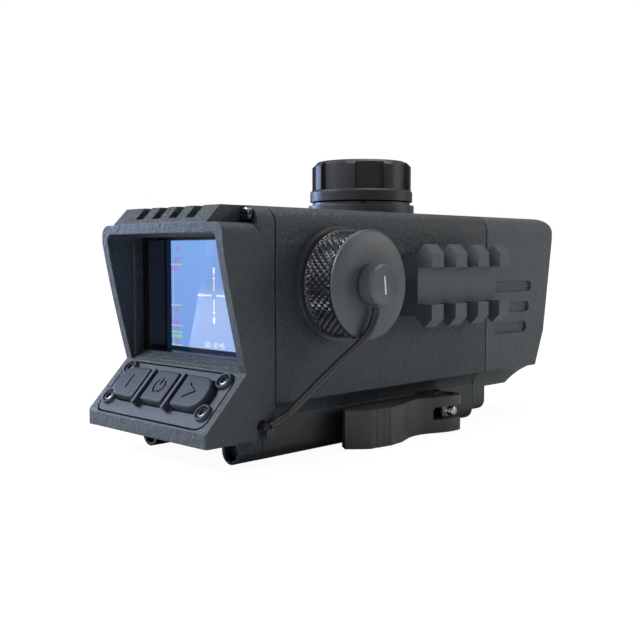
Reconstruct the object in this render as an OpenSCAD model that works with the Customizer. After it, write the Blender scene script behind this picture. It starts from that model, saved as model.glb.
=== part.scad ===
// Compact digital sighting scope with a hooded rear screen, a turret knob, a side accessory
// rail, a side battery cap on a tether and a quick-release rail clamp.
// Origin: on the clamp's rail seat. +Y points forward, +Z up, +X to the battery cap's side.

/* [Housings] */
// Width of the housings, side to side
body_w = 46.6; // [40:0.2:60]
// Height of the top face above the rail seat
body_top = 53; // [50:0.5:64]
// Length of the main housing, seam to seam
body_len = 82.2; // [76:0.1:100]
// Radius of the long top edges
corner_r = 4.5; // [3:0.1:5]
// Wall of the housings
wall = 2; // [1.6:0.1:2.4]
// Height of the lower edge of the sides, where the cove starts
side_low = 8.1; // [7:0.1:9]
// Width of the cove between the side and the clamp block
cove_w = 4.5; // [3.5:0.1:5.5]
// Radius of the cove
cove_r = 4.2; // [3.5:0.1:6]
// Thickness of each seam gasket
gasket_t = 0.4; // [0.3:0.05:0.8]

/* [Hood and screen] */
// Distance from the rear seam back to the hood's rim
hood_len = 15.3; // [13:0.1:20]
// Distance from the rear seam back to the lip under the keys
lip_len = 20.1; // [18:0.1:26]
// Drop of the rim below the top face, over which the vent slope runs
rim_drop = 3.8; // [3:0.1:5]
// Thickness of the rim's top band
rim_t = 2.4; // [2:0.1:3]
// Wall of the hood's sides
hood_wall = 2.3; // [1.8:0.1:2.6]
// Depth from the rim to the screen bezel
bezel_depth = 10; // [8:0.1:12]
// Width of the screen opening
screen_w = 35.8; // [30:0.1:37]
// Height of the screen opening
screen_h = 27.4; // [22:0.1:28]
// Height of the screen opening's lower edge
screen_z = 18; // [17:0.1:19]
// Width of each vent slot
vent_w = 3.1; // [2:0.1:3.6]
// Pitch of the vent slots
vent_pitch = 6.5; // [5.5:0.1:7]

/* [Keys] */
// Height of the lip's upper edge
lip_z = 3.7; // [3:0.1:5]
// Height of the notch between the hood and the key panel
notch_z = 15.7; // [14:0.1:16.5]
// Distance from the rear seam back to the notch
notch_len = 8.6; // [7.5:0.1:10]
// Width of the keypad plate
keypad_w = 41.6; // [36:0.2:43]
// Height of the keys above the plate
key_rise = 2; // [1.2:0.1:2.4]
// Travel of a key
key_travel = 0.7; // [0.3:0.05:0.8]
// Width of the middle key
power_w = 8.4; // [7:0.1:9]
// Gap around a key in its opening
key_gap = 0.3; // [0.2:0.05:0.4]

/* [Battery bay] */
// Distance of the battery axis behind the body's middle
bay_back = 21.6; // [20:0.1:24]
// Height of the battery axis
bay_z = 34.95; // [32:0.05:37]
// Diameter of the cell
cell_d = 17; // [15:0.1:18.3]
// Length of the cell
cell_len = 34.5; // [30:0.1:35]
// Diameter of the knurled cap
cap_d = 25.6; // [24:0.1:28]
// Length of the knurled cap
cap_len = 9.5; // [8:0.1:12]
// Travel of the cap along its thread
cap_travel = 3; // [2:0.1:3.5]
// Diameter of the tether's swivel disc
disc_d = 9.8; // [8:0.1:12]
// Thickness of the swivel disc
disc_t = 4; // [3:0.1:5]
// Diameter of the tether
tether_d = 2; // [1.4:0.1:2.4]

/* [Turret] */
// Distance of the turret axis in front of the body's middle
turret_y = 13.2; // [11:0.1:14]
// Diameter of the turret's base ring
turret_base_d = 29.6; // [27:0.1:32]
// Diameter of the knob's flange
flange_d = 28.7; // [26:0.1:31]
// Diameter over the knob's ribs
knob_d = 27.9; // [24:0.1:28.5]
// Height of the knob, flange included
knob_h = 11; // [9:0.5:14]
// Number of ribs around the knob
rib_count = 8; // [6:1:10]
// Width of a rib
rib_w = 2.7; // [2:0.1:3.2]
// Diameter of the turret shaft
shaft_d = 5; // [4:0.5:6]

/* [Side rail] */
// Height of the rail's centre line
rail_z = 34; // [30:0.5:36]
// How far the rail stands out from the side
rail_h = 9.5; // [8.5:0.1:11]
// Number of lugs
lug_count = 4; // [3:1:4]
// Lug pitch of the rail standard
rail_pitch = 10.0076; // [10.0076:0.0001:10.0076]
// Length of a lug
lug_len = 4.85; // [4.7:0.01:5]
// Rear face of the first lug, in front of the body's middle
lug_y = 3.7; // [3:0.1:5]

/* [Optics] */
// Diameter of the objective
objective_d = 30; // [26:0.5:32]
// Height of the optical axis
lens_z = 29; // [28:0.5:30]
// Length of the front housing
front_len = 35.3; // [32:0.1:40]

/* [Clamp] */
// Width of the clamp block
base_w = 37.6; // [36:0.2:40]
// Height of the clamp block above the rail seat
base_top = 4.3; // [4.2:0.1:5]
// Depth of the clamp block below the rail seat
base_low = 6; // [5.8:0.1:7]
// Width across the flats of the rail that the clamp takes
rail_w = 21.2; // [21.2:0.1:21.2]
// Gap between the rail and each jaw
jaw_gap = 0.25; // [0.2:0.05:0.35]
// Travel of the moving jaw
jaw_travel = 1.5; // [1:0.1:1.6]
// Cross bolt's distance in front of the body's middle
bolt_y = 21.3; // [20:0.1:24]
// Diameter of the cross bolt
bolt_d = 3; // [2.5:0.1:3]
// Distance of the lever's pivot outside the clamp block's side
pivot_out = 4.8; // [4.4:0.1:5.7]
// Length of the lever behind its pivot
lever_len = 40; // [34:0.5:46]

/* [Hidden] */
$fn = 64;
half_w = body_w / 2;
half_len = body_len / 2;
slip = 0.3;            // gap between pieces that move past each other
fit = 0.05;            // gap between a pin or screw and its hole
rear_y = -half_len - gasket_t / 2;
front_y = half_len + gasket_t / 2;

// Rear housing outline
rim_y = -half_len - hood_len;
lip_y = -half_len - lip_len;
notch_y = -half_len - notch_len;
rim_z = body_top - rim_drop;
vent_y = rim_y + rim_drop;
under_z = 0.4;
bezel_y = rim_y + bezel_depth;
hood_in = half_w - hood_wall;
hood_top = rim_z - rim_t;
step_y = bezel_y - 2.5;
step_in = 0.6;
hood_bow = 1.5;        // how far the hood's side edge bows back from a straight line
bow_steps = 10;
lip_r = 0.8;           // radius of the lip's outer corners
edge_r = 2.6;          // radius of the hood's top corners beside the screw channels

// Key panel frame: x across, y up the slope, z outward
panel_tilt = atan2(notch_z - lip_z, lip_len - notch_len);
panel_len = norm([notch_z - lip_z, lip_len - notch_len]);
plate_edge = 0.9;
plate_len = panel_len - 2 * plate_edge;
plate_t = 1.5;
plate_gap = 0.25;      // gap between the plate and the keys' flanges
groove = 0.4;          // width of the groove around the plate
rib_over = 1.2;        // how far the ribs run past the keys' lower edge
key_top = 3.2;         // distance of the keys' upper edge below the notch
key_len = 8.8;
key_x = 7.2;           // inner edge of the outer keys
outer_key_w = 10.4;
outer_key_r = 4.1;
rib_x = (power_w / 2 + key_x) / 2 + 0.1;
flange_w = 0.7;
flange_t = 0.8;
switch_t = 1.2;
board_t = 1;
pad_x = keypad_w / 2 - 2.6;
pad_rows = [2.9, 11.8];
switch_top = plate_t + plate_gap + flange_t + key_travel + 0.1;
pocket_deep = switch_top + switch_t + board_t;
pocket_w = 2 * (key_x + outer_key_w) - 3;
key_room = flange_w + slip;
pocket_top = 2.6;
pocket_len = 10;

// Screws
screw_r = 1;
head_r = 1.7;
head_t = 1.5;
upper_screw = [half_w - 3.6, body_top - 2.1];
lower_screw = [base_w / 2 - 3.1, -2.9];
front_screws_at = [[half_w - corner_r, body_top - corner_r], [half_w - 5.5, 9.5]];
channel_floor = body_top - 4;
channel_in = half_w - 5.3;
channel_end = -half_len - 4.6;
head_rear = channel_end - 1.5;

// Screen stack
bezel_in = hood_wall + 0.3;
bezel_top = body_top - 4.7;
bezel_low = screen_z - 2.3;
bezel_front = rear_y + 2.4;
glass_y = -half_len + 0.1;
glass_t = 1;
panel_t = 2;
recess_wall = 1.6;

// Battery bay
bay_y = -bay_back;
collar_t = 1.7;
collar_r = cap_d / 2 + 0.9;
tube_r = cell_d / 2 + 3.1;
cell_bore = cell_d / 2 + 0.5;
plug_bore = cell_d / 2 + 1.7;
plug_r = plug_bore - slip;
cell_x = -half_w + wall + 3.2;
plug_x = cell_x + cell_len + 2.1;
cap_x = half_w + collar_t + slip;
seal_x = half_w + collar_t - cap_travel - 0.7;   // the O-ring stays in its bore over the travel
cap_front = half_w + collar_t + cap_len + slip;
disc_x = cap_front + slip;
swivel_r = 2;

// Turret
turret_base_h = 2.5;
neck_h = 0.8;
knob_z = body_top + turret_base_h + neck_h + slip;
flange_h = 3.1;
rib_phase = 30;        // angle of the first rib
shaft_r = shaft_d / 2;
spigot_r = turret_base_d / 2 - 5.3;

// Side rail
rail_wide = 10.6;
rail_flat = 8.38;
rail_neck = 7.83;
rail_slot = 4.6;
rail_top = half_w + rail_h;
groove_half = 4.7;
rail_len = (lug_count - 1) * rail_pitch + lug_len;
rail_screw_y = [for (k = [0, lug_count - 2]) lug_y + k * rail_pitch + lug_len + (rail_pitch - lug_len) / 2];

// Optics
barrel_r = objective_d / 2 + 2.5;
barrel_rear = 22.6;
barrel_front = half_len + 23;
bulkhead_y = half_len + 15;
board_z = base_top + wall + 2;

// Clamp
pivot_x = base_w / 2 + pivot_out;
pivot_y = bolt_y;
bolt_z = -0.4;
bolt_r = bolt_d / 2;
bolt_room = 0.1;       // gap around the bolt in the clamp block, which keeps the seat clear of it
nut_r = 2.4;
lever_low = -5.6;
lever_top = base_top - 0.3;
slot_gap = 0.2;
cam_r = 3.9;
cam_off = 1.7;
jaw_clear = 0.35;
jaw_x = pivot_x - cam_r - cam_off - jaw_clear;
jaw_in = rail_w / 2 + jaw_gap;
jaw_rear = -10;
jaw_front = bolt_y + 3.7;
jaw_top = 2.9;
hook_in = jaw_in - jaw_travel - 0.45;   // the hook lets the rail go at full travel
guide_y = -4;
guide_z = 1.7;
guide_r = 0.8;
lug_depth = 2.5;
lug_t = 4.8;
lug_mid = bolt_y - 6 * rail_pitch;
base_screw_y = [-30, -8, 12, 34];

// Tether route, from under the swivel disc to the slot in the rear housing
tether_route = [[36.4, -21.6, 29.8], [36.4, -21.9, 28], [36.4, -23, 25.8], [36.2, -24.2, 24],
    [35, -26.2, 21.3], [32.4, -29.6, 17.4], [29.6, -33.3, 12.9], [27, -37.1, 8.4],
    [25.6, -39.5, 5.8], [24.9, -41.3, 4.6], [24.4, -43.9, 3.5]];

body_grey = "#3a4244";
front_grey = "#4a5153";
rail_grey = "#50585a";
base_black = "#2a2b2e";
knob_black = "#252527";
key_blue = "#596273";
steel = "#9aa0a6";
brass_y = "#b08d4c";
board_green = "#1f5a3c";

// ---- helpers -------------------------------------------------------------------------------

// Extrudes a Y-Z outline along X
module along_x(x0, x1) translate([x0, 0, 0]) rotate([90, 0, 90]) linear_extrude(x1 - x0) children();
// Extrudes an X-Z outline along Y
module along_y(y0, y1) translate([0, y1, 0]) rotate([90, 0, 0]) linear_extrude(y1 - y0) children();
module rod_x(x0, x1, r, y, z) translate([x0, y, z]) rotate([0, 90, 0]) cylinder(h = x1 - x0, r = r);
module rod_y(y0, y1, r, x, z) translate([x, y1, z]) rotate([90, 0, 0]) cylinder(h = y1 - y0, r = r);
module rod_z(z0, z1, r, x, y) translate([x, y, z0]) cylinder(h = z1 - z0, r = r);
module block(low, high) translate(low) cube(high - low);
// Moves children into the key panel's frame, with its origin at the notch
module on_panel() translate([0, notch_y, notch_z]) rotate([panel_tilt, 0, 0]) children();
// Square with four rounded corners
module rounded(w, h, r) {
    square([w - 2 * r, h], center = true);
    square([w, h - 2 * r], center = true);
    for (sx = [-1, 1], sy = [-1, 1]) translate([sx * (w / 2 - r), sy * (h / 2 - r)]) circle(r, $fn = 32);
}
// Repeats children on both sides of the middle plane
module both() {
    children();
    mirror([1, 0, 0]) children();
}

// Cross-section shared by the housings, drawn inset by a wall, down to a given height
module section(inset, low) {
    w = half_w - inset;
    top = body_top - inset;
    r = corner_r - inset;
    chord = [cove_w, side_low - base_top];
    away = sqrt(pow(cove_r, 2) - pow(norm(chord) / 2, 2));
    cove_at = [half_w - cove_w / 2 + away * chord.y / norm(chord),
        (side_low + base_top) / 2 - away * chord.x / norm(chord)];
    difference() {
        union() {
            translate([-w, low]) square([2 * w, top - r - low]);
            translate([r - w, low]) square([2 * (w - r), top - low]);
            for (s = [-1, 1]) translate([s * (w - r), top - r]) circle(r);
        }
        for (s = [-1, 1]) translate([s * cove_at.x, cove_at.y]) circle(cove_r + inset);
    }
}

// Ring of gasket between two housings
module gasket(y, low) along_y(y - gasket_t / 2, y + gasket_t / 2) difference() {
    section(0.5, low + 0.5);
    section(wall - 0.2, low + wall - 0.2);
}

// Cap screw along Y: shank forward of its head, the head's socket facing back
module screw_y(x, z, head_y, len, r = screw_r, hr = head_r) difference() {
    union() {
        rod_y(head_y, head_y + head_t, hr, x, z);
        rod_y(head_y + head_t, head_y + head_t + len, r, x, z);
    }
    translate([x, head_y + 0.8, z]) rotate([90, 0, 0]) cylinder(h = 1, r = hr * 0.55, $fn = 6);
}

// ---- housings ------------------------------------------------------------------------------

function hood_point(t) = let (a = [rim_y, hood_top - 1.8], b = [notch_y, notch_z],
    c = (a + b) / 2 + [-hood_bow, 3.6]) (1 - t) * (1 - t) * a + 2 * t * (1 - t) * c + t * t * b;

module rear_profile() polygon(concat(
    [[rear_y, under_z], [rear_y, body_top], [vent_y, body_top], [rim_y, rim_z]],
    [for (k = [0:bow_steps]) hood_point(k / bow_steps)],
    [[lip_y, lip_z], [lip_y, under_z]]));

module hood_cavity() {
    ledge = (screen_z - notch_z) / (bezel_y - notch_y);
    side_cut = [[rim_y - 1, hood_top], [step_y, hood_top], [step_y, screen_z - ledge * (bezel_y - step_y)],
        [lip_y - 1, screen_z - ledge * (bezel_y - lip_y + 1)], [lip_y - 1, hood_top]];
    intersection() {
        along_x(-hood_in, hood_in) polygon(side_cut);
        along_y(lip_y - 1, step_y) translate([0, (hood_top + under_z) / 2])
            rounded(2 * hood_in, hood_top - under_z, 1.5);
    }
    along_x(step_in - hood_in, hood_in - step_in) polygon([[step_y - 0.1, hood_top - step_in],
        [bezel_y + 0.1, hood_top - step_in], [bezel_y + 0.1, screen_z],
        [step_y - 0.1, screen_z - ledge * (bezel_y - step_y)]]);
}

module rear_housing() color(body_grey) difference() {
    union() {
        intersection() {
            along_x(-half_w, half_w) rear_profile();
            along_y(lip_y, rear_y) union() {
                translate([-half_w, under_z]) square([body_w, body_top - corner_r - under_z]);
                translate([corner_r - half_w, under_z])
                    square([body_w - 2 * corner_r, body_top - under_z]);
                for (s = [-1, 1]) translate([s * (half_w - corner_r), body_top - corner_r]) circle(corner_r);
            }
        }
        both() rod_y(rear_y - 6.9, rear_y, 3.1, lower_screw.x, lower_screw.y);
        both() block([lower_screw.x - 3.1, rear_y - 6.9, lower_screw.y],
            [lower_screw.x + 3.1, rear_y, under_z + 1]);
    }
    hood_cavity();
    // pocket for the bezel
    along_y(bezel_y, rear_y + 1) translate([0, (bezel_top + bezel_low) / 2])
        square([2 * hood_in, bezel_top - bezel_low + 2 * slip], center = true);
    // vent slots
    for (k = [0:3])
        translate([(k - 1.5) * vent_pitch - vent_w / 2 + 0.9, rim_y + 1.1, hood_top + rim_t + 0.5])
        cube([vent_w, vent_y - rim_y + 2.6, rim_drop + 1]);
    // upper screw channels, then the screw holes
    both() block([channel_in, rim_y - 1, channel_floor], [half_w + 1, channel_end, body_top + 1]);
    both() difference() {
        block([half_w - edge_r, rim_y - 1, channel_floor - edge_r],
            [half_w + 1, channel_end, channel_floor + 1]);
        rod_y(rim_y - 2, channel_end + 1, edge_r, half_w - edge_r, channel_floor - edge_r);
    }
    both() difference() {
        block([half_w - lip_r, lip_y - 1, under_z - 1], [half_w + 1, lip_y + lip_r, notch_z]);
        rod_z(under_z - 2, notch_z + 1, lip_r, half_w - lip_r, lip_y + lip_r);
    }
    both() rod_y(channel_end - 1, rear_y + 1, screw_r + fit, upper_screw.x, upper_screw.y);
    both() rod_y(rear_y - 8, rear_y - 4, 2.4, lower_screw.x, lower_screw.y);
    both() rod_y(rear_y - 8, rear_y + 1, screw_r + fit, lower_screw.x, lower_screw.y);
    // recess of the keypad plate, pocket of its board and the passage of its wires
    on_panel() {
        translate([0, -panel_len / 2, -plate_t]) linear_extrude(plate_t + 1)
            rounded(keypad_w + 2 * groove, plate_len + 2 * groove, 3);
        translate([-pocket_w / 2, -pocket_top - pocket_len, -pocket_deep])
            cube([pocket_w, pocket_len, pocket_deep]);
        for (x = [-pad_x, pad_x], s = pad_rows)
            translate([x, -s, -plate_t - 3.2]) cylinder(h = 4, r = 0.8 + fit);
    }
    key_place() translate([0, 0, -switch_top]) linear_extrude(switch_top - plate_t + 0.1) {
        power_outline(key_room);
        translate([key_x, 0]) outer_key_outline(key_room);
        mirror([1, 0]) translate([key_x, 0]) outer_key_outline(key_room);
    }
    block([-6, notch_y + 2, under_z + 5.5], [6, rear_y + 1, under_z + 9.5]);
    // hollow behind the lip, open towards the main housing
    block([2 - hood_in, rear_y - 5, under_z + wall], [hood_in - 2, rear_y + 1, bezel_low - 2.5]);
    // slot of the tether in the side
    block([half_w - 1.6, -half_len - 5.5, under_z - 1], [half_w + 1, -half_len - 2.8, under_z + 3.1]);
    rod_x(half_w - 1.6, half_w + 1, 1.35, -half_len - 4.15, under_z + 3.1);
}

module main_housing() color(body_grey) difference() {
    union() {
        difference() {
            along_y(rear_y + gasket_t, front_y - gasket_t) section(0, base_top);
            along_y(rear_y, front_y) section(wall, base_top + wall);
        }
        intersection() {
            along_y(rear_y + gasket_t, front_y - gasket_t) section(0.1, base_top);
            union() {
                both() rod_y(rear_y + gasket_t, rear_y + gasket_t + 9, 2.4, upper_screw.x, upper_screw.y);
                for (p = front_screws_at) both()
                    rod_y(front_y - gasket_t - 10, front_y - gasket_t, 2.9, p.x, p.y);
            }
        }
        for (y = base_screw_y) rod_z(base_top + 0.5, board_z, 3, 0, y);
        // thickened seat of the turret
        rod_z(body_top - wall - 1.5, body_top - wall + 0.5, 8.5, 0, turret_y);
    }
    both() rod_y(rear_y, rear_y + gasket_t + 8, screw_r + fit, upper_screw.x, upper_screw.y);
    for (p = front_screws_at) both() rod_y(front_y - gasket_t - 9, front_y, screw_r + fit, p.x, p.y);
    for (y = base_screw_y) rod_z(base_top - 1, board_z - 0.5, 1.25 + fit, 0, y);
    rod_z(body_top - wall - 2, body_top + 1, shaft_r + 1, 0, turret_y);
    rod_x(half_w - wall - 1, half_w + 1, tube_r + 0.1, bay_y, bay_z);
    for (y = rail_screw_y) rod_x(half_w - wall - 1, half_w + 1, screw_r + fit, y, rail_z);
}

module front_profile() {
    nose = half_len + front_len;
    polygon([[front_y, 3], [nose - 18.4, 3], [nose - 8.9, 7.5], [nose - 4.3, 18.6],
        [nose - 1.9, 34.2], [nose, body_top - 6.3], [nose, body_top - 3.5],
        [nose - 0.4, body_top - 2], [nose - 1.5, body_top - 0.8], [nose - 3.3, body_top - 0.1],
        [nose - 3.9, body_top], [front_y, body_top]]);
}

module front_housing() color(front_grey) difference() {
    union() {
        intersection() {
            along_x(-half_w, half_w) front_profile();
            along_y(front_y - 1, half_len + front_len + 1) section(0, 3);
        }
        // toe that closes the clamp block's front end
        intersection() {
            block([-base_w / 2, front_y, -4], [base_w / 2, half_len + 6.2, 5]);
            along_y(front_y, half_len + 6.2) translate([0, 3]) rounded(base_w, 14, 3);
        }
    }
    intersection() {
        block([-half_w, front_y - 1, 0], [half_w, bulkhead_y, body_top]);
        along_y(front_y - 1, bulkhead_y) difference() {
            section(wall, base_top + wall);
            for (p = front_screws_at, s = [-1, 1]) translate([s * p.x, p.y]) circle(3.4);
        }
    }
    rod_y(bulkhead_y - 1, half_len + front_len + 1, barrel_r + slip, 0, lens_z);
    for (p = front_screws_at) both() {
        rod_y(front_y - 1, bulkhead_y, screw_r + fit, p.x, p.y);
        rod_y(front_y + 6, half_len + front_len + 1, head_r + 0.3, p.x, p.y);
    }
    for (k = [0:2]) both() grip_groove(rail_z - 1.5 - 6.1 * k, half_len + 23.7 - 1.2 * k);
}

// One of the shallow grooves in the side of the front housing
module grip_groove(z, front_end) {
    block([half_w - 0.7, half_len + 5.2, z - 1.57], [half_w + 1, front_end - 1.57, z + 1.57]);
    rod_x(half_w - 0.7, half_w + 1, 1.57, front_end - 1.57, z);
    rod_x(half_w - 0.7, half_w + 1, 1.57, half_len + 5.2, z);
}

module rear_gasket() color("#151516") difference() {
    gasket(-half_len, base_top);
    both() rod_y(rear_y - 1, rear_y + 1, screw_r + fit, upper_screw.x, upper_screw.y);
}
module front_gasket() color("#151516") gasket(half_len, base_top);

// ---- side rail -----------------------------------------------------------------------------

module rail_outline() polygon([[rail_z - rail_neck, half_w], [rail_z - rail_neck, rail_top - 5.5],
    [rail_z - rail_wide, rail_top - 2.74], [rail_z - rail_wide, rail_top - 2.22],
    [rail_z - rail_flat, rail_top], [rail_z + rail_flat, rail_top],
    [rail_z + rail_wide, rail_top - 2.22], [rail_z + rail_wide, rail_top - 2.74],
    [rail_z + rail_neck, rail_top - 5.5], [rail_z + rail_neck, half_w]]);

module side_rail() color(rail_grey) difference() {
    translate([0, lug_y + rail_len, 0]) rotate([90, 0, 0]) linear_extrude(rail_len)
        mirror([1, -1]) rail_outline();
    for (k = [0:1:lug_count - 2]) block([rail_top - rail_slot, lug_y + k * rail_pitch + lug_len, 0],
        [rail_top + 1, lug_y + (k + 1) * rail_pitch, body_top]);
    block([rail_top - rail_slot, lug_y - 1, rail_z - groove_half],
        [rail_top + 1, lug_y + rail_len + 1, rail_z + groove_half]);
    for (y = rail_screw_y) rod_x(half_w - 1, half_w + 4, screw_r + fit, y, rail_z);
}

module rail_screws() color(steel) for (y = rail_screw_y) {
    rod_x(half_w - wall - head_t, half_w - wall, head_r, y, rail_z);
    rod_x(half_w - wall - 0.1, half_w + 3.8, screw_r, y, rail_z);
}

// ---- screen --------------------------------------------------------------------------------

module display_bezel() color("#17181a") difference() {
    along_y(bezel_y, bezel_front) translate([0, (bezel_top + bezel_low) / 2])
        square([2 * (half_w - bezel_in), bezel_top - bezel_low], center = true);
    along_y(bezel_y - 1, bezel_front + 1) translate([-screen_w / 2, screen_z]) square([screen_w, screen_h]);
    along_y(glass_y, bezel_front + 1) screen_recess(0);
}

module screen_recess(gap) translate([0, (bezel_top + bezel_low) / 2])
    square([2 * (half_w - bezel_in - recess_wall - gap), bezel_top - bezel_low - 2 * (1.1 + gap)],
        center = true);

module display_window() color("#a8c8e8", 0.5) along_y(glass_y, glass_y + glass_t) screen_recess(0.1);
module display_panel() color("#3a78d8")
    along_y(glass_y + glass_t, glass_y + glass_t + panel_t) screen_recess(0.1);

// ---- keys ----------------------------------------------------------------------------------

module outer_key_outline(grow) {
    w = outer_key_w + 2 * grow;
    h = key_len + 2 * grow;
    r = outer_key_r;
    translate([-grow, -h / 2]) square([w - r, h]);
    translate([w - grow - 2 * r, r - h / 2]) square([2 * r, h - 2 * r]);
    for (s = [-1, 1]) translate([w - grow - r, s * (h / 2 - r)]) circle(r, $fn = 48);
}
module power_outline(grow) rounded(power_w + 2 * grow, key_len + 2 * grow, 1);
module key_place() on_panel() translate([0, -key_top - key_len / 2, 0]) children();

// Key with a cap above the plate, a neck through it and a flange that holds it in
module key_body() {
    translate([0, 0, -plate_t - plate_gap - flange_t]) linear_extrude(flange_t) children(1);
    translate([0, 0, -plate_t - plate_gap - 0.1])
        linear_extrude(plate_t + plate_gap + key_rise - 0.5) children(0);
    translate([0, 0, key_rise - 0.7]) linear_extrude(0.7, scale = 0.9) children(0);
}

module key_right() color(key_blue) key_place() translate([key_x + outer_key_w / 2, 0, 0]) key_body() {
    translate([-outer_key_w / 2, 0]) outer_key_outline(0);
    translate([-outer_key_w / 2, 0]) outer_key_outline(flange_w);
}
module key_left() color(key_blue) mirror([1, 0, 0]) key_right();
module key_power() color(key_blue) key_place() key_body() {
    power_outline(0);
    power_outline(flange_w);
}

module keypad_plate() color("#7d8698") difference() {
    union() {
        on_panel() translate([0, -panel_len / 2, -plate_t])
            linear_extrude(plate_t) rounded(keypad_w, plate_len, 2.8);
        for (x = [-rib_x, rib_x]) key_place() translate([x, -rib_over / 2, key_rise / 2 - 0.2])
            cube([0.9, key_len + rib_over, key_rise + 0.6], center = true);
    }
    key_place() translate([0, 0, -plate_t - 1]) linear_extrude(plate_t + 4) {
        power_outline(key_gap);
        translate([key_x, 0]) outer_key_outline(key_gap);
        mirror([1, 0]) translate([key_x, 0]) outer_key_outline(key_gap);
    }
    for (x = [-pad_x, pad_x], s = pad_rows)
        on_panel() translate([x, -s, -plate_t - 1]) cylinder(h = 4, r = 0.8 + fit);
}

module keypad_board() color(board_green) on_panel()
    translate([-pocket_w / 2 + 0.2, -pocket_top - pocket_len + 0.2, -pocket_deep])
        cube([pocket_w - 0.4, pocket_len - 0.4, board_t]);

module key_switches() color("#c9c9c4") for (x = [-key_x - 5, 0, key_x + 5]) key_place()
    translate([x - 2, -2, -switch_top - switch_t]) cube([4, 4, switch_t]);

module keypad_screws() color(steel)
    for (x = [-pad_x, pad_x], s = pad_rows) on_panel() translate([x, -s, 0]) {
        difference() {
            cylinder(h = 1.1, r = 1.8);
            translate([0, 0, 0.5]) cylinder(h = 1, r = 0.9, $fn = 6);
        }
        translate([0, 0, -plate_t - 3]) cylinder(h = plate_t + 3.1, r = 0.8);
    }

// ---- screws of the housings ----------------------------------------------------------------

module rear_upper_screws() color(steel) both() screw_y(upper_screw.x, upper_screw.y, head_rear, 11.5);
module rear_lower_screws() color(steel) both()
    screw_y(lower_screw.x, lower_screw.y, rear_y - 4 - head_t, 9.5, screw_r, 2.1);
module front_screws() color(steel) for (p = front_screws_at) both() mirror([0, 1, 0])
    screw_y(p.x, p.y, -front_y - 6 - head_t, 13);

// ---- battery bay ---------------------------------------------------------------------------

module battery_collar() color("#222426") difference() {
    rod_x(half_w, half_w + collar_t, collar_r, bay_y, bay_z);
    rod_x(half_w - 1, half_w + collar_t + 1, plug_bore + 0.2, bay_y, bay_z);
}

module battery_tube() color("#8c9094") difference() {
    union() {
        rod_x(cell_x - 1.8, half_w, tube_r, bay_y, bay_z);
        rod_x(wall - half_w, cell_x - 1.7, 4, bay_y, bay_z);
    }
    rod_x(cell_x, half_w + 1, cell_bore, bay_y, bay_z);
    rod_x(plug_x - 0.3, half_w + 1, plug_bore, bay_y, bay_z);
}

module battery_cell() color("#3b5f8f") {
    rod_x(cell_x, cell_x + cell_len - 1, cell_d / 2, bay_y, bay_z);
    rod_x(cell_x + cell_len - 1.1, cell_x + cell_len, 3, bay_y, bay_z);
}

module battery_contact() color(brass_y) rod_x(cell_x + cell_len + 0.1, plug_x, 3.6, bay_y, bay_z);

module battery_cap() color("#3f4547") difference() {
    union() {
        rod_x(plug_x, cap_x + 0.1, plug_r, bay_y, bay_z);
        rod_x(cap_x, cap_front - 0.5, cap_d / 2, bay_y, bay_z);
        translate([cap_front - 0.5, bay_y, bay_z]) rotate([0, 90, 0])
            cylinder(h = 0.5, r1 = cap_d / 2, r2 = cap_d / 2 - 0.5);
    }
    rod_x(cap_front - 5, cap_front + 1, swivel_r + fit, bay_y, bay_z);
    translate([seal_x, bay_y, bay_z]) rotate([0, 90, 0]) rotate_extrude() translate([plug_r - 0.8, -0.6])
        square([1.3, 1.2]);
}

module cap_o_ring() color("#101010") translate([seal_x, bay_y, bay_z]) rotate([0, 90, 0])
    rotate_extrude() translate([plug_r - 0.3, 0]) circle(0.45, $fn = 24);

module tether_swivel() color("#2b2d30") difference() {
    union() {
        rod_x(disc_x, disc_x + disc_t - 0.4, disc_d / 2, bay_y, bay_z);
        translate([disc_x + disc_t - 0.4, bay_y, bay_z]) rotate([0, 90, 0])
            cylinder(h = 0.4, r1 = disc_d / 2, r2 = disc_d / 2 - 0.4);
        rod_x(cap_front - 4.7, disc_x + 0.1, swivel_r, bay_y, bay_z);
    }
    block([disc_x + disc_t - 0.35, bay_y - 0.3, bay_z - 2.2],
        [disc_x + disc_t + 1, bay_y + 0.3, bay_z + 2.2]);
}

// One ring of the tether, square to the line between its neighbours
function ring(p, back, ahead, r, sides) = let (d = (ahead - back) / norm(ahead - back),
    u = cross(d, [0.3, 1, 0]) / norm(cross(d, [0.3, 1, 0])), v = cross(d, u))
    [for (k = [0:sides - 1]) p + r * (cos(360 * k / sides) * u + sin(360 * k / sides) * v)];
function smooth_route(pts, steps) = let (n = len(pts) - 1) concat([for (k = [0:n - 1], j = [0:steps - 1])
    let (t = j / steps, a = pts[max(k - 1, 0)], b = pts[k], c = pts[k + 1], d = pts[min(k + 2, n)])
    0.5 * (2 * b + (c - a) * t + (2 * a - 5 * b + 4 * c - d) * t * t
        + (3 * b - a - 3 * c + d) * t * t * t)],
    [pts[n]]);
module tether() color("#121213") {
    sides = 8;
    path = smooth_route(tether_route, 3);
    n = len(path);
    rings = [for (k = [0:n - 1])
        ring(path[k], path[max(k - 1, 0)], path[min(k + 1, n - 1)], tether_d / 2, sides)];
    polyhedron(points = [for (r = rings) each r], faces = concat(
        [[for (k = [0:sides - 1]) k]], [[for (k = [sides - 1:-1:0]) (n - 1) * sides + k]],
        [for (i = [0:n - 2], k = [0:sides - 1])
            [i * sides + k, (i + 1) * sides + k, (i + 1) * sides + (k + 1) % sides,
                i * sides + (k + 1) % sides]]));
}

// Crimped end that holds the tether in the housing's slot
module tether_anchor() color("#0f0f10")
    rod_x(half_w - 1.6, half_w + 1.5, 0.9, -half_len - 4.15, under_z + 3.1);

// ---- turret --------------------------------------------------------------------------------

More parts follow.
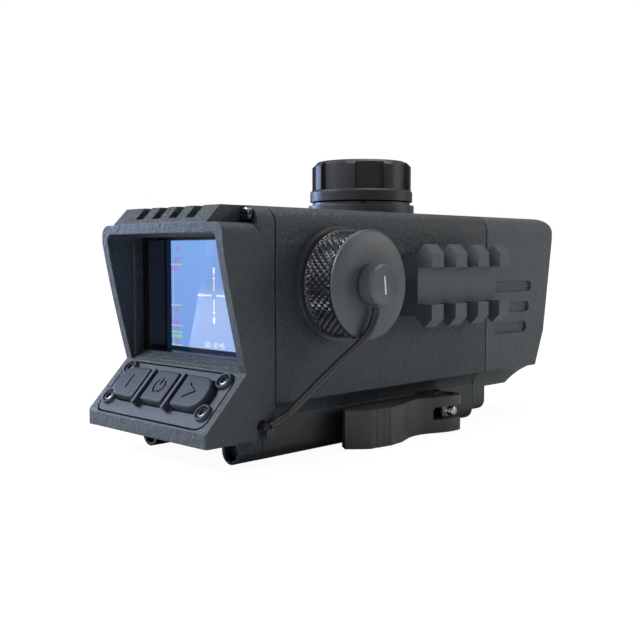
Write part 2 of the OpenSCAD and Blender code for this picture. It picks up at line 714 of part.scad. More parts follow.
module turret_base() color("#2d2e30") difference() {
    union() {
        rod_z(body_top, body_top + turret_base_h, turret_base_d / 2, 0, turret_y);
        rod_z(body_top, body_top + turret_base_h + neck_h, turret_base_d / 2 - 1.1, 0, turret_y);
        rod_z(body_top, knob_z + flange_h + 1.5, spigot_r, 0, turret_y);
        rod_z(body_top - 1.5, body_top + 0.1, shaft_r + 0.9, 0, turret_y);
    }
    rod_z(body_top - 3, knob_z + knob_h, shaft_r + fit, 0, turret_y);
    for (s = [-1, 1]) translate([0, turret_y, body_top + turret_base_h]) rotate([0, 0, s * 45 - 90])
        translate([turret_base_d / 2 - 2.2, -0.8, -0.1]) cube([3, 1.6, 2]);
    translate([0, turret_y, knob_z + flange_h - 1])
        rotate_extrude() translate([spigot_r - 0.9, -0.6]) square([1.1, 1.2]);
}

module turret_o_ring() color("#101010") translate([0, turret_y, knob_z + flange_h - 1])
    rotate_extrude() translate([spigot_r - 0.35, 0]) circle(0.44, $fn = 24);

module turret_knob() color(knob_black) difference() {
    union() {
        rod_z(knob_z, knob_z + flange_h - 0.5, flange_d / 2, 0, turret_y);
        translate([0, turret_y, knob_z + flange_h - 0.51])
            cylinder(h = 0.51, r1 = flange_d / 2, r2 = knob_d / 2);
        rod_z(knob_z, knob_z + knob_h - 0.6, knob_d / 2 - 1.1, 0, turret_y);
        translate([0, turret_y, knob_z + knob_h - 0.61])
            cylinder(h = 0.61, r1 = knob_d / 2 - 1.1, r2 = knob_d / 2 - 1.7);
        intersection() {
            for (k = [0:rib_count - 1]) translate([0, turret_y, knob_z + 1])
                rotate([0, 0, rib_phase + 360 * k / rib_count])
                translate([0, -rib_w / 2, 0]) cube([knob_d, rib_w, knob_h - 1.3]);
            union() {
                rod_z(knob_z, knob_z + knob_h - 1.3, knob_d / 2, 0, turret_y);
                translate([0, turret_y, knob_z + knob_h - 1.31])
                    cylinder(h = 1.01, r1 = knob_d / 2, r2 = knob_d / 2 - 1);
            }
        }
    }
    rod_z(knob_z - 1, knob_z + flange_h + 1.5 + slip, spigot_r + slip, 0, turret_y);
    rod_z(knob_z, knob_z + knob_h - 2, shaft_r + fit, 0, turret_y);
    rod_z(knob_z, knob_z + knob_h + 1, 1.25 + fit, 0, turret_y);
    rod_z(knob_z + knob_h - 1.2, knob_z + knob_h + 1, 2.6, 0, turret_y);
}

module turret_shaft() color(steel) difference() {
    rod_z(body_top - 9, knob_z + knob_h - 2, shaft_r, 0, turret_y);
    rod_z(knob_z + 2, knob_z + knob_h, 1.25 + fit, 0, turret_y);
}

module turret_screw() color(steel) difference() {
    union() {
        rod_z(knob_z + 2.5, knob_z + knob_h - 1.1, 1.25, 0, turret_y);
        rod_z(knob_z + knob_h - 1.2, knob_z + knob_h - 0.1, 2.4, 0, turret_y);
    }
    translate([0, turret_y, knob_z + knob_h - 0.7]) cylinder(h = 2, r = 1.2, $fn = 6);
}

module turret_encoder() color("#2a2a2a") difference() {
    block([-6.5, turret_y - 6.5, body_top - wall - 8], [6.5, turret_y + 6.5, body_top - wall - 1.5]);
    rod_z(body_top - 9.3, body_top, shaft_r + 0.1, 0, turret_y);
}

// ---- inside --------------------------------------------------------------------------------

module main_board() color(board_green)
    block([-half_w + 6, rear_y + 5, board_z], [half_w - 6, half_len - 11.5, board_z + 1.6]);

module sensor_board() color(board_green)
    block([-14, barrel_rear - 1.6, lens_z - 13], [14, barrel_rear, lens_z + 13]);
module image_sensor() color("#556070")
    block([-8, barrel_rear, lens_z - 6.5], [8, barrel_rear + 1.6, lens_z + 6.5]);

module lens_barrel() color("#1c1d1f") difference() {
    union() {
        rod_y(barrel_rear, barrel_front, barrel_r, 0, lens_z);
        rod_y(bulkhead_y - 2, bulkhead_y, barrel_r + 1.6, 0, lens_z);
    }
    block([-8.2, barrel_rear - 1, lens_z - 6.7], [8.2, barrel_rear + 3, lens_z + 6.7]);
    rod_y(barrel_rear + 2, barrel_rear + 8, 9.5, 0, lens_z);
    rod_y(barrel_rear + 8, barrel_rear + 12, 10.8, 0, lens_z);
    rod_y(barrel_rear + 11.9, barrel_front - 6, objective_d / 2 - 1.5, 0, lens_z);
    rod_y(barrel_front - 6.1, barrel_front + 1, objective_d / 2 + 0.4, 0, lens_z);
}

// Lens with a straight edge and one spherical face, bulging forward
module lens(y, r, edge, bulge) {
    big = (r * r + bulge * bulge) / (2 * bulge);
    rod_y(y, y + edge, r, 0, lens_z);
    intersection() {
        translate([0, y + edge + bulge - big, lens_z]) rotate([-90, 0, 0]) sphere(big, $fn = 96);
        rod_y(y + edge - 0.01, y + edge + bulge + 0.1, r - 0.05, 0, lens_z);
    }
}
module objective_lens() color("#7f9fb8", 0.5) lens(barrel_front - 6, objective_d / 2, 1.8, 2.2);
module rear_lens() color("#7f9fb8", 0.5) lens(barrel_rear + 8.1, 10.6, 1.4, 1.2);
module lens_retainer() color("#222325") difference() {
    rod_y(barrel_front - 3.75, barrel_front - 0.4, objective_d / 2 + 0.3, 0, lens_z);
    rod_y(barrel_front - 5, barrel_front + 1, objective_d / 2 - 1.2, 0, lens_z);
}

// ---- quick-release clamp -------------------------------------------------------------------

// Outline of the groove that takes the rail, hooked on the fixed side only
module rail_groove() polygon([[-rail_flat - 0.1, 0], [-jaw_in, -2.3], [-jaw_in, -2.95],
    [3 - jaw_in, -base_low], [3 - jaw_in, -base_low - 1], [jaw_in, -base_low - 1], [jaw_in, -2.3],
    [rail_flat + 0.1, 0]]);

module mount_base() color(base_black) difference() {
    intersection() {
        block([-base_w / 2, -half_len, -base_low], [base_w / 2, half_len, base_top]);
        along_y(-half_len, half_len) translate([0, 10 - base_low]) rounded(base_w, 20, 3);
    }
    difference() {
        along_y(-half_len - 1, half_len + 1) rail_groove();
        block([-8, lug_mid - lug_t / 2, -lug_depth], [8, lug_mid + lug_t / 2, 0.1]);
    }
    // pocket of the moving jaw
    block([jaw_in - slip, jaw_rear - slip, -base_low - 1],
        [base_w / 2 + 1, jaw_front + slip, jaw_top + slip]);
    // room for the lever's cam above the jaw
    block([jaw_x - slip, pivot_y - cam_r - 3, -base_low],
        [base_w / 2 + 1, jaw_front + slip, base_top + 1]);
    rod_x(-base_w / 2 - 1, base_w / 2 + 1, bolt_r + bolt_room, bolt_y, bolt_z);
    rod_x(-base_w / 2 - 1, -base_w / 2 + 2.7, 3.2, bolt_y, bolt_z);
    rod_x(jaw_in - 5, base_w / 2, guide_r + fit, guide_y, guide_z);
    for (y = base_screw_y) {
        rod_z(-1, base_top + 1, 1.25 + 0.2, 0, y);
        rod_z(-1, 2.4, 2.6, 0, y);
    }
    both() rod_y(-half_len - 1, -half_len + 7, screw_r + fit, lower_screw.x, lower_screw.y);
}

module base_screws() color(steel) for (y = base_screw_y) difference() {
    union() {
        rod_z(0.4, 2.4, 2.4, 0, y);
        rod_z(2.3, board_z - 0.7, 1.25, 0, y);
    }
    translate([0, y, 0]) cylinder(h = 1.4, r = 1.3, $fn = 6);
}

module clamp_jaw() color("#34363a") difference() {
    along_y(jaw_rear, jaw_front) polygon([[jaw_in, jaw_top], [jaw_in, -2.95], [hook_in, -5],
        [hook_in, -base_low], [jaw_x - 1.5, -base_low], [jaw_x, -base_low + 1.5], [jaw_x, jaw_top]]);
    rod_x(hook_in - 1, jaw_x + 1, bolt_r + slip, bolt_y, bolt_z);
    rod_x(hook_in - 1, jaw_x + 1, guide_r + 0.08, guide_y, guide_z);
}

module jaw_guide_pin() color(steel) rod_x(jaw_in - 5, jaw_x - 1, guide_r, guide_y, guide_z);

module cross_bolt() color(steel) rod_x(-base_w / 2 + 0.4, pivot_x + nut_r + 1.2, bolt_r, bolt_y, bolt_z);

module clamp_nut() color(steel) difference() {
    translate([-base_w / 2 + 0.3, bolt_y, bolt_z]) rotate([0, 90, 0]) cylinder(h = 2.3, r = 2.9, $fn = 6);
    rod_x(-base_w / 2 - 1, 0, bolt_r + fit, bolt_y, bolt_z);
}

module barrel_nut() color(steel) difference() {
    rod_z(lever_low + 0.4, lever_top - 0.4, nut_r, pivot_x, pivot_y);
    rod_x(pivot_x - 4, pivot_x + 4, bolt_r + fit, bolt_y, bolt_z);
}

// One smooth stretch of the lever's outer edge, between two points with level tangents
function ease(a, b, n) = [for (k = [0:n]) let (t = k / n, s = (1 - cos(180 * t)) / 2)
    [a.x + (b.x - a.x) * s, a.y + (b.y - a.y) * t]];

module lever_outline() translate([pivot_x, pivot_y]) {
    tail = -lever_len;
    waist = [1.5, -13.8];   // where the outer edge runs closest to the clamp block
    polygon(concat([[-4.3, 0], [-2.8, tail + 2.1], [0.2, tail], [3.8, tail + 3.9], [4.4, tail + 5],
        [5.2, tail + 11.5], [4.9, tail + 13.4]], ease([4.7, tail + 14.2], waist - [0, 0.5], 8),
        ease(waist + [0, 0.5], [4.5, -1.8], 8), [[4.5, 0]]));
    translate([-cam_off, 0]) circle(cam_r);
    translate([0.4, 0]) circle(4.1);
    translate([-cam_off, -3]) square([cam_off + 0.4, 6.9]);
}

module qr_lever() color("#303336") difference() {
    translate([0, 0, lever_low]) linear_extrude(lever_top - lever_low) lever_outline();
    rod_z(lever_low - 1, lever_top + 1, nut_r + fit, pivot_x, pivot_y);
    block([pivot_x - 20, pivot_y - 8.3, bolt_z - bolt_r - slot_gap],
        [pivot_x + 16, pivot_y + 10, bolt_z + bolt_r + slot_gap]);
    for (k = [0:2]) rod_z(lever_low - 1, lever_top + 1, 0.75, pivot_x + 5.15 + 0.28 * k,
        pivot_y - lever_len + 6.6 + 2.1 * k);
}

// ---- parts ---------------------------------------------------------------------------------

rear_housing();
main_housing();
front_housing();
rear_gasket();
front_gasket();
side_rail();
rail_screws();
display_bezel();
display_window();
display_panel();
keypad_plate();
key_left();
key_power();
key_right();
keypad_board();
key_switches();
keypad_screws();
rear_upper_screws();
rear_lower_screws();
front_screws();
battery_collar();
battery_tube();
battery_cell();
battery_contact();
battery_cap();
cap_o_ring();
tether_swivel();
tether();
tether_anchor();
turret_base();
turret_knob();
turret_shaft();
turret_o_ring();
turret_screw();
turret_encoder();
main_board();
sensor_board();
image_sensor();
lens_barrel();
objective_lens();
rear_lens();
lens_retainer();
mount_base();
base_screws();
clamp_jaw();
jaw_guide_pin();
cross_bolt();
clamp_nut();
barrel_nut();
qr_lever();
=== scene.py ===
import math

import bmesh
import bpy
from mathutils import Matrix, Vector


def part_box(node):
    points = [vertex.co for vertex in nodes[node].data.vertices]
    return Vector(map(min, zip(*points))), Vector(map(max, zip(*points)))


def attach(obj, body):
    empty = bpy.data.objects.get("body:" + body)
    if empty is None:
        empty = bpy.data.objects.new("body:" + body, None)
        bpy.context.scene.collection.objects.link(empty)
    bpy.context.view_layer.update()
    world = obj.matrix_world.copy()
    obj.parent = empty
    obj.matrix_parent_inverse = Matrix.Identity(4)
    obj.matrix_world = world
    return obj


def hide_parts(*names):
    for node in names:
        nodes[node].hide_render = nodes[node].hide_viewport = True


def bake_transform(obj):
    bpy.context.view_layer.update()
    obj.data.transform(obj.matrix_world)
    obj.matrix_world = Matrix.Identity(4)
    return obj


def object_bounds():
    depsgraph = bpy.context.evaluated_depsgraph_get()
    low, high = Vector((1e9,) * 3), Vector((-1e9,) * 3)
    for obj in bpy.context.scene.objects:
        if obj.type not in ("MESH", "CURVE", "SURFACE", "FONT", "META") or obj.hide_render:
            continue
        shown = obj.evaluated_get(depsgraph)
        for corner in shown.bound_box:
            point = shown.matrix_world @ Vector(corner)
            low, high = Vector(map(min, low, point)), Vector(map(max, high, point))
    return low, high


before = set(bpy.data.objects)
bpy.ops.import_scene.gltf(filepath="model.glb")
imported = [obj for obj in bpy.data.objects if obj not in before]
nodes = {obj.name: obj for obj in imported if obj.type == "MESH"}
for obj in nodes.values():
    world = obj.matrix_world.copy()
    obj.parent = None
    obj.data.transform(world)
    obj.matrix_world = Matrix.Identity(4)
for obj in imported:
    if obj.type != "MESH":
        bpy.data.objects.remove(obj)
cad_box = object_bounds()
MM = 0.001
SLIP = 0.3 * MM          # gap between pieces that move past each other


def middle(node):
    """Centre of a CAD node's box."""
    low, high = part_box(node)
    return (low + high) / 2


def srgb(r, g, b):
    """Linear colour of an sRGB colour from 0 to 255."""
    shares = [c / 255 for c in (r, g, b)]
    return tuple(((c + 0.055) / 1.055) ** 2.4 if c > 10 / 255 else c / 12.92 for c in shares) + (1,)


# ---- camera ---------------------------------------------------------------------------------

def add_camera():
    data = bpy.data.cameras.new("camera")
    data.lens = 52.81
    data.sensor_width = 36
    camera = bpy.data.objects.new("camera", data)
    camera.location = Vector((178.94, -184.42, 41.89)) * MM
    camera.rotation_euler = (math.radians(90 - 3.97), 0, math.radians(44.65))
    bpy.context.scene.collection.objects.link(camera)
    bpy.context.scene.camera = camera


# ---- materials ------------------------------------------------------------------------------

class Graph:
    """Short calls for building a material's nodes."""

    def __init__(self, name):
        self.material = bpy.data.materials.new(name)
        self.material.use_nodes = True
        self.tree = self.material.node_tree
        self.shader = self.tree.nodes["Principled BSDF"]
        self.place = self.tree.nodes.new("ShaderNodeTexCoord").outputs["Object"]

    def set(self, **values):
        for name, value in values.items():
            self.shader.inputs[name.replace("_", " ")].default_value = value

    def link(self, a, b):
        self.tree.links.new(a, b)

    def noise(self, scale, detail=2.0, roughness=0.5, stretch=None):
        node = self.tree.nodes.new("ShaderNodeTexNoise")
        node.inputs["Scale"].default_value = scale
        node.inputs["Detail"].default_value = detail
        node.inputs["Roughness"].default_value = roughness
        if stretch:
            scaled = self.tree.nodes.new("ShaderNodeVectorMath")
            scaled.operation = "MULTIPLY"
            scaled.inputs[1].default_value = stretch
            self.link(self.place, scaled.inputs[0])
            self.link(scaled.outputs[0], node.inputs["Vector"])
        else:
            self.link(self.place, node.inputs["Vector"])
        return node.outputs["Fac"]

    def remap(self, value, low, high, start=0.3, end=0.7):
        node = self.tree.nodes.new("ShaderNodeMapRange")
        limits = {"From Min": start, "From Max": end, "To Min": low, "To Max": high}
        for name, number in limits.items():
            node.inputs[name].default_value = number
        self.link(value, node.inputs["Value"])
        return node.outputs["Result"]

    def blend(self, factor, a, b):
        node = self.tree.nodes.new("ShaderNodeMix")
        node.data_type = "RGBA"
        for socket, colour in zip(node.inputs[6:8], (a, b)):
            if isinstance(colour, tuple):
                socket.default_value = colour
            else:
                self.link(colour, socket)
        self.link(factor, node.inputs[0])
        return node.outputs[2]

    def math(self, operation, a, b=None):
        node = self.tree.nodes.new("ShaderNodeMath")
        node.operation = operation
        for socket, value in zip(node.inputs, (a, b)):
            if isinstance(value, (int, float)):
                socket.default_value = value
            elif value is not None:
                self.link(value, socket)
        return node.outputs[0]

    def rounded(self, radius):
        """Normal that runs smoothly over edges, as on a blasted or moulded piece."""
        node = self.tree.nodes.new("ShaderNodeBevel")
        node.samples = 6
        node.inputs["Radius"].default_value = radius
        return node.outputs["Normal"]

    def bump(self, height, distance, normal=None):
        node = self.tree.nodes.new("ShaderNodeBump")
        node.inputs["Distance"].default_value = distance
        self.link(height, node.inputs["Height"])
        if normal:
            self.link(normal, node.inputs["Normal"])
        return node.outputs["Normal"]


def scaled(colour, factor):
    return tuple(c * factor for c in colour[:3]) + (1,)


def grained(name, colour, rough, grain, depth, spread=0.25, metallic=0.0, specular=0.5, edge=0.2):
    """Moulded or blasted surface: fine grain in relief and tone, a slow drift in gloss, edges rounded."""
    g = Graph(name)
    g.set(Metallic=metallic, Specular_IOR_Level=specular)
    fine = g.noise(grain, 3.0, 0.6)
    coarse = g.noise(grain / 3.2, 2.0)
    drift = g.noise(45, 2.0)
    tone = g.blend(g.remap(fine, 0, 1), scaled(colour, 1 - spread), scaled(colour, 1 + spread))
    slow = g.blend(g.remap(drift, 0, 1), scaled(colour, 0.93), scaled(colour, 1.07))
    half = g.tree.nodes.new("ShaderNodeMix")
    half.data_type = "RGBA"
    half.inputs[0].default_value = 0.4
    g.link(tone, half.inputs[6])
    g.link(slow, half.inputs[7])
    g.link(half.outputs[2], g.shader.inputs["Base Color"])
    g.link(g.remap(drift, rough - 0.05, rough + 0.05), g.shader.inputs["Roughness"])
    g.link(g.bump(fine, depth, g.bump(coarse, depth * 1.4, g.rounded(edge * MM))), g.shader.inputs["Normal"])
    return g.material


def brushed(name, colour, rough):
    """Metal with fine turning marks and a little soiling."""
    g = Graph(name)
    g.set(Metallic=1.0)
    marks = g.noise(900, 3.0, 0.6, (1, 6, 1))
    soil = g.noise(700, 3.0)
    tone = g.blend(g.remap(soil, 0, 1), scaled(colour, 0.55), scaled(colour, 1.15))
    g.link(tone, g.shader.inputs["Base Color"])
    g.link(g.remap(marks, rough - 0.1, rough + 0.14), g.shader.inputs["Roughness"])
    g.link(g.bump(marks, 8e-6), g.shader.inputs["Normal"])
    return g.material


def satin_cord(name, colour):
    """Extruded rubber with faint drag marks."""
    g = Graph(name)
    g.set(Specular_IOR_Level=0.55)
    marks = g.noise(1500, 2.0, 0.5)
    tone = g.blend(g.remap(marks, 0, 1), scaled(colour, 0.7), scaled(colour, 1.4))
    g.link(tone, g.shader.inputs["Base Color"])
    g.link(g.remap(g.noise(260), 0.34, 0.5), g.shader.inputs["Roughness"])
    g.link(g.bump(marks, 1.4e-5), g.shader.inputs["Normal"])
    return g.material


def clear_glass(name, tint, coat):
    """Coated lens glass with a faint coloured reflection and specks of dust."""
    g = Graph(name)
    g.set(Roughness=0.03, Transmission_Weight=1.0, IOR=1.5, Coat_Weight=0.6, Coat_Roughness=0.04)
    g.shader.inputs["Coat Tint"].default_value = coat
    dust = g.noise(2600, 3.0)
    g.link(g.blend(g.remap(dust, 0, 1, 0.62, 0.72), tint, scaled(tint, 0.9)), g.shader.inputs["Base Color"])
    g.link(g.remap(dust, 0.02, 0.2, 0.62, 0.75), g.shader.inputs["Roughness"])
    return g.material


PICTURE_LEFT = -16.6     # left edge of the lit picture, in millimetres
PICTURE_FOOT = 18.7      # lower edge of the lit picture, in millimetres


def lit_screen(name):
    """Lit display: blue picture, a slanted sheen on its right, a dark border and a fine grain."""
    g = Graph(name)
    low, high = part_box("display_panel")
    xyz = g.tree.nodes.new("ShaderNodeSeparateXYZ")
    g.link(g.place, xyz.inputs[0])
    across = g.remap(xyz.outputs["X"], 0, 1, low.x, high.x)
    up = g.remap(xyz.outputs["Z"], 0, 1, low.z, high.z)
    edge = g.math("SUBTRACT", across, g.remap(up, 0.26, 0.5, 0.0, 0.8))
    sheen = g.math("MULTIPLY", g.remap(edge, 0, 1, 0.0, 0.012), g.remap(up, 1.0, 0.25, 0.55, 0.95))
    blue = g.blend(up, srgb(136, 174, 244), srgb(142, 186, 250))
    picture = g.blend(sheen, blue, srgb(143, 173, 232))
    left = g.remap(xyz.outputs["X"], 1, 0, PICTURE_LEFT * MM, (PICTURE_LEFT + 0.2) * MM)
    foot = g.remap(xyz.outputs["Z"], 1, 0, PICTURE_FOOT * MM, (PICTURE_FOOT + 0.2) * MM)
    picture = g.blend(g.math("MAXIMUM", left, foot), picture, srgb(24, 32, 56))
    grey = srgb(128, 128, 128)
    speck = g.blend(g.remap(g.noise(5200, 1.0), 0, 1), scaled(grey, 3.9), scaled(grey, 4.7))
    mixed = g.tree.nodes.new("ShaderNodeMix")
    mixed.data_type = "RGBA"
    mixed.blend_type = "MULTIPLY"
    mixed.inputs[0].default_value = 1
    g.link(picture, mixed.inputs[6])
    g.link(speck, mixed.inputs[7])
    g.set(Base_Color=srgb(8, 9, 12), Roughness=0.25)
    g.link(mixed.outputs[2], g.shader.inputs["Emission Color"])
    g.shader.inputs["Emission Strength"].default_value = 1.0
    return g.material


def glowing(name, colour, strength=1.0):
    """A lit mark on the screen, slightly uneven."""
    g = Graph(name)
    g.set(Base_Color=srgb(10, 10, 12), Roughness=0.4)
    tone = g.blend(g.remap(g.noise(6000, 1.0), 0, 1), scaled(colour, 0.88), colour)
    g.link(tone, g.shader.inputs["Emission Color"])
    g.shader.inputs["Emission Strength"].default_value = strength
    return g.material


def circuit(name):
    """Green board with paler traces."""
    g = Graph(name)
    g.set(Roughness=0.4)
    traces = g.remap(g.noise(500, 0.0, 0.5, (1, 5, 1)), 0, 1, 0.48, 0.52)
    g.link(g.blend(traces, srgb(14, 70, 44), srgb(28, 98, 60)), g.shader.inputs["Base Color"])
    g.link(g.bump(traces, 2e-5), g.shader.inputs["Normal"])
    return g.material


def make_materials():
    return {
        "housing": grained("housing", srgb(48, 54, 58), 0.43, 1900, 2.2e-4, 0.5, specular=0.36,
                           edge=0.45),
        # front housing: the housing's grey made lighter, as painted light from the lamp at the front right
        "front": grained("front", srgb(69, 75, 77), 0.46, 1900, 2e-4, 0.4, specular=0.36, edge=0.45),
        "rail": grained("rail", srgb(72, 78, 81), 0.45, 2600, 5e-5, 0.26, specular=0.4),
        "clamp": grained("clamp", srgb(38, 40, 43), 0.45, 2600, 5e-5, 0.25, specular=0.5, edge=0.3),
        "knob": grained("knob", srgb(31, 31, 33), 0.4, 3000, 2e-5, 0.2, specular=0.4),
        "collar": grained("collar", srgb(48, 50, 53), 0.36, 3000, 1.6e-5, 0.2, specular=0.5),
        "cap": grained("cap", srgb(70, 74, 77), 0.4, 3000, 2.4e-5, 0.18, specular=0.5, edge=0.12),
        # knurl band: the cap's metal made glossier, and darker as painted shade of the grooves
        "knurl": grained("knurl", srgb(34, 37, 40), 0.24, 3000, 1e-5, 0.2, metallic=0.35, specular=0.7,
                         edge=0.03),
        "lever": grained("lever", srgb(50, 53, 54), 0.42, 2600, 5e-5, 0.25, specular=0.5, edge=0.3),
        "keypad": grained("keypad", srgb(50, 55, 66), 0.45, 2400, 7e-5, 0.3, specular=0.4, edge=0.25),
        "key": grained("key", srgb(38, 43, 53), 0.5, 3200, 3e-5, 0.22, specular=0.3, edge=0.2),
        "seal": grained("seal", srgb(16, 16, 17), 0.6, 3000, 1e-5, 0.2, specular=0.3),
        "gloss": grained("gloss", srgb(11, 11, 13), 0.24, 900, 4e-6, 0.2, specular=0.28, edge=0.1),
        "cell": grained("cell", srgb(40, 70, 140), 0.3, 900, 6e-6, 0.1),
        "mark": grained("mark", srgb(225, 228, 230), 0.5, 3000, 8e-6, 0.04, edge=0.05),
        "dark_steel": brushed("dark_steel", srgb(88, 90, 94), 0.24),
        "steel": brushed("steel", srgb(120, 122, 126), 0.3),
        "bright_steel": brushed("bright_steel", srgb(190, 192, 196), 0.26),
        "brass": brushed("brass", srgb(190, 150, 80), 0.3),
        "cord": satin_cord("cord", srgb(30, 32, 34)),
        "lens": clear_glass("lens", (0.93, 0.96, 0.98, 1), (0.55, 0.75, 0.6, 1)),
        "pane": clear_glass("pane", (0.97, 0.98, 1.0, 1), (0.9, 0.95, 1.0, 1)),
        "screen": lit_screen("screen"),
        "white_light": glowing("white_light", (1, 1, 1, 1), 1.05),
        "yellow_light": glowing("yellow_light", srgb(190, 226, 190)),
        "green_light": glowing("green_light", srgb(140, 226, 170)),
        "rose_light": glowing("rose_light", srgb(200, 116, 206)),
        "pale_light": glowing("pale_light", srgb(178, 206, 246)),
        "board": circuit("board"),
    }


NODE_MATERIALS = {
    "housing": ["rear_housing", "main_housing"],
    "front": ["front_housing"],
    "seal": ["rear_gasket", "front_gasket", "cap_o_ring", "turret_o_ring", "tether_anchor"],
    "rail": ["side_rail"],
    "steel": ["rail_screws", "turret_shaft", "jaw_guide_pin", "clamp_nut", "barrel_nut"],
    "gloss": ["display_bezel", "image_sensor", "key_switches"],
    "pane": ["display_window"],
    "screen": ["display_panel"],
    "keypad": ["keypad_plate"],
    "board": ["keypad_board", "main_board", "sensor_board"],
    "collar": ["battery_collar", "turret_base", "lens_retainer"],
    "cap": ["battery_tube"],
    "cell": ["battery_cell"],
    "brass": ["battery_contact"],
    "knob": ["turret_knob", "turret_encoder", "lens_barrel"],
    "lens": ["objective_lens", "rear_lens"],
    "clamp": ["mount_base", "clamp_jaw"],
    "lever": ["qr_lever"],
}


def paint(obj, material):
    obj.data.materials.clear()
    obj.data.materials.append(material)
    return obj


# ---- mesh helpers ---------------------------------------------------------------------------

def finish_mesh(name, verts, faces, material, body, smooth=True, weld=True):
    """Makes an object of a mesh, closes its normals and rides it on a body."""
    mesh = bpy.data.meshes.new(name)
    mesh.from_pydata([tuple(v) for v in verts], [], faces)
    bm = bmesh.new()
    bm.from_mesh(mesh)
    if weld:
        bmesh.ops.remove_doubles(bm, verts=bm.verts, dist=1e-7)
    bmesh.ops.recalc_face_normals(bm, faces=bm.faces)
    bm.to_mesh(mesh)
    bm.free()
    for polygon in mesh.polygons:
        polygon.use_smooth = smooth
    obj = bpy.data.objects.new(name, mesh)
    bpy.context.scene.collection.objects.link(obj)
    paint(obj, material)
    if body:
        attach(obj, body)
    return obj


def frame_of(origin, axis):
    """Matrix that takes Z to axis and the origin to origin."""
    turn = Vector(axis).normalized().to_track_quat("Z", "Y").to_matrix().to_4x4()
    return Matrix.Translation(origin) @ turn


def lathe(rings, count, place, radius=None):
    """Vertices and faces of rings (height, radius) turned about Z; radius(h, angle, r) may shape them."""
    verts, faces = [], []
    for height, r in rings:
        for k in range(count):
            a = 2 * math.pi * k / count
            rr = radius(height, a, r) if radius else r
            verts.append(place @ Vector((rr * math.cos(a), rr * math.sin(a), height)))
    for i in range(len(rings) - 1):
        for k in range(count):
            n = (k + 1) % count
            faces.append((i * count + k, i * count + n, (i + 1) * count + n, (i + 1) * count + k))
    return verts, faces


def sharpen(obj, angle=32):
    """Marks edges over an angle sharp, so that smooth shading keeps them."""
    bm = bmesh.new()
    bm.from_mesh(obj.data)
    for edge in bm.edges:
        if len(edge.link_faces) == 2:
            edge.smooth = edge.calc_face_angle(0) < math.radians(angle)
    bm.to_mesh(obj.data)
    bm.free()
    return obj


# ---- battery cap ----------------------------------------------------------------------------

def battery_cap(material, shaded_band):
    """Cap with a diamond knurl of crossing grooves and a flat face; the second material goes on the knurl
    band: glossier than the cap, and darker as painted shade of the grooves.
    """
    low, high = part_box("battery_cap")
    centre = middle("battery_cap")
    r = (high.z - low.z) / 2
    collar_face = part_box("battery_collar")[1].x
    back = collar_face + SLIP
    front = high.x
    pin_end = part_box("tether_swivel")[0].x
    pin_r = 2.1 * MM
    plug_r = 9.9 * MM
    start, end = back + 0.5 * MM, front - 0.9 * MM
    rows, turns = 4, 48
    depth = 0.6 * MM

    def knurl(h, a, rr):
        x = h + centre.x
        if not start < x < end:
            return rr
        v = rows * (x - start) / (end - start)
        u = turns * a / (2 * math.pi)
        groove = max(abs(((u + v) % 1) * 2 - 1), abs(((u - v) % 1) * 2 - 1))
        fade = min(1, 8 * (x - start) / (end - start), 8 * (end - x) / (end - start))
        return rr - depth * fade * max(0, groove - 0.12) / 0.88

    steps = rows * 8
    rings = [(low.x, 4 * MM), (low.x, plug_r), (back, plug_r), (back, r - 0.35 * MM), (back + 0.2 * MM, r),
             (start, r)]
    rings += [(start + (end - start) * k / steps, r) for k in range(1, steps)]
    rings += [(end, r), (front - 0.45 * MM, r), (front - 0.04 * MM, r - 0.42 * MM), (front, r - 0.5 * MM),
              (front, 7 * MM), (front, pin_r), (pin_end, pin_r)]
    place = Matrix.Translation(centre) @ Matrix.Rotation(math.pi / 2, 4, "Y")
    verts, faces = lathe([(x - centre.x, rr) for x, rr in rings], turns * 8, place, knurl)
    cap = finish_mesh("battery_cap_knurled", verts, faces, material, "cap")
    sharpen(cap, 34)
    # the knurl band takes the darker material, painted shade of its grooves
    cap.data.materials.append(shaded_band)
    for polygon in cap.data.polygons:
        if start < polygon.center.x < end and (polygon.center - centre).yz.length > 0.7 * r:
            polygon.material_index = 1
            polygon.use_smooth = False
    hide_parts("battery_cap")


def swivel(material, mark):
    """Swivel disc with a chamfered rim, on its pin, and the white bar let into its face."""
    low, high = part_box("tether_swivel")
    c = middle("tether_swivel")
    r = (high.y - low.y) / 2
    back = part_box("battery_cap")[1].x + SLIP
    face = high.x - 0.06 * MM
    pin_r = 2 * MM
    rings = [(low.x, 0.02 * MM), (low.x, pin_r), (back, pin_r), (back, r - 0.15 * MM),
             (back + 0.15 * MM, r), (high.x - 0.4 * MM, r), (high.x, r - 0.36 * MM),
             (high.x, r - 0.75 * MM), (face, r - 0.95 * MM), (face, 0.02 * MM)]
    place = Matrix.Translation(c) @ Matrix.Rotation(math.pi / 2, 4, "Y")
    verts, faces = lathe([(x - c.x, rr) for x, rr in rings], 72, place)
    disc = finish_mesh("tether_swivel_disc", verts, faces, material, "swivel")
    sharpen(disc)
    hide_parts("tether_swivel")
    w, h, t = 0.54 * MM, 4.3 * MM, 0.4 * MM
    tilt = Matrix.Rotation(math.radians(6), 4, "X")
    at = Matrix.Translation((high.x - t / 2, c.y, c.z))
    bm = bmesh.new()
    bmesh.ops.create_cube(bm, size=1, matrix=at @ tilt @ Matrix.Diagonal((t, w, h, 1)))
    bmesh.ops.bevel(bm, geom=bm.edges[:], offset=0.06 * MM, segments=2, affect="EDGES")
    mesh = bpy.data.meshes.new("swivel_mark")
    bm.to_mesh(mesh)
    bm.free()
    obj = bpy.data.objects.new("swivel_mark", mesh)
    bpy.context.scene.collection.objects.link(obj)
    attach(paint(obj, mark), "swivel")
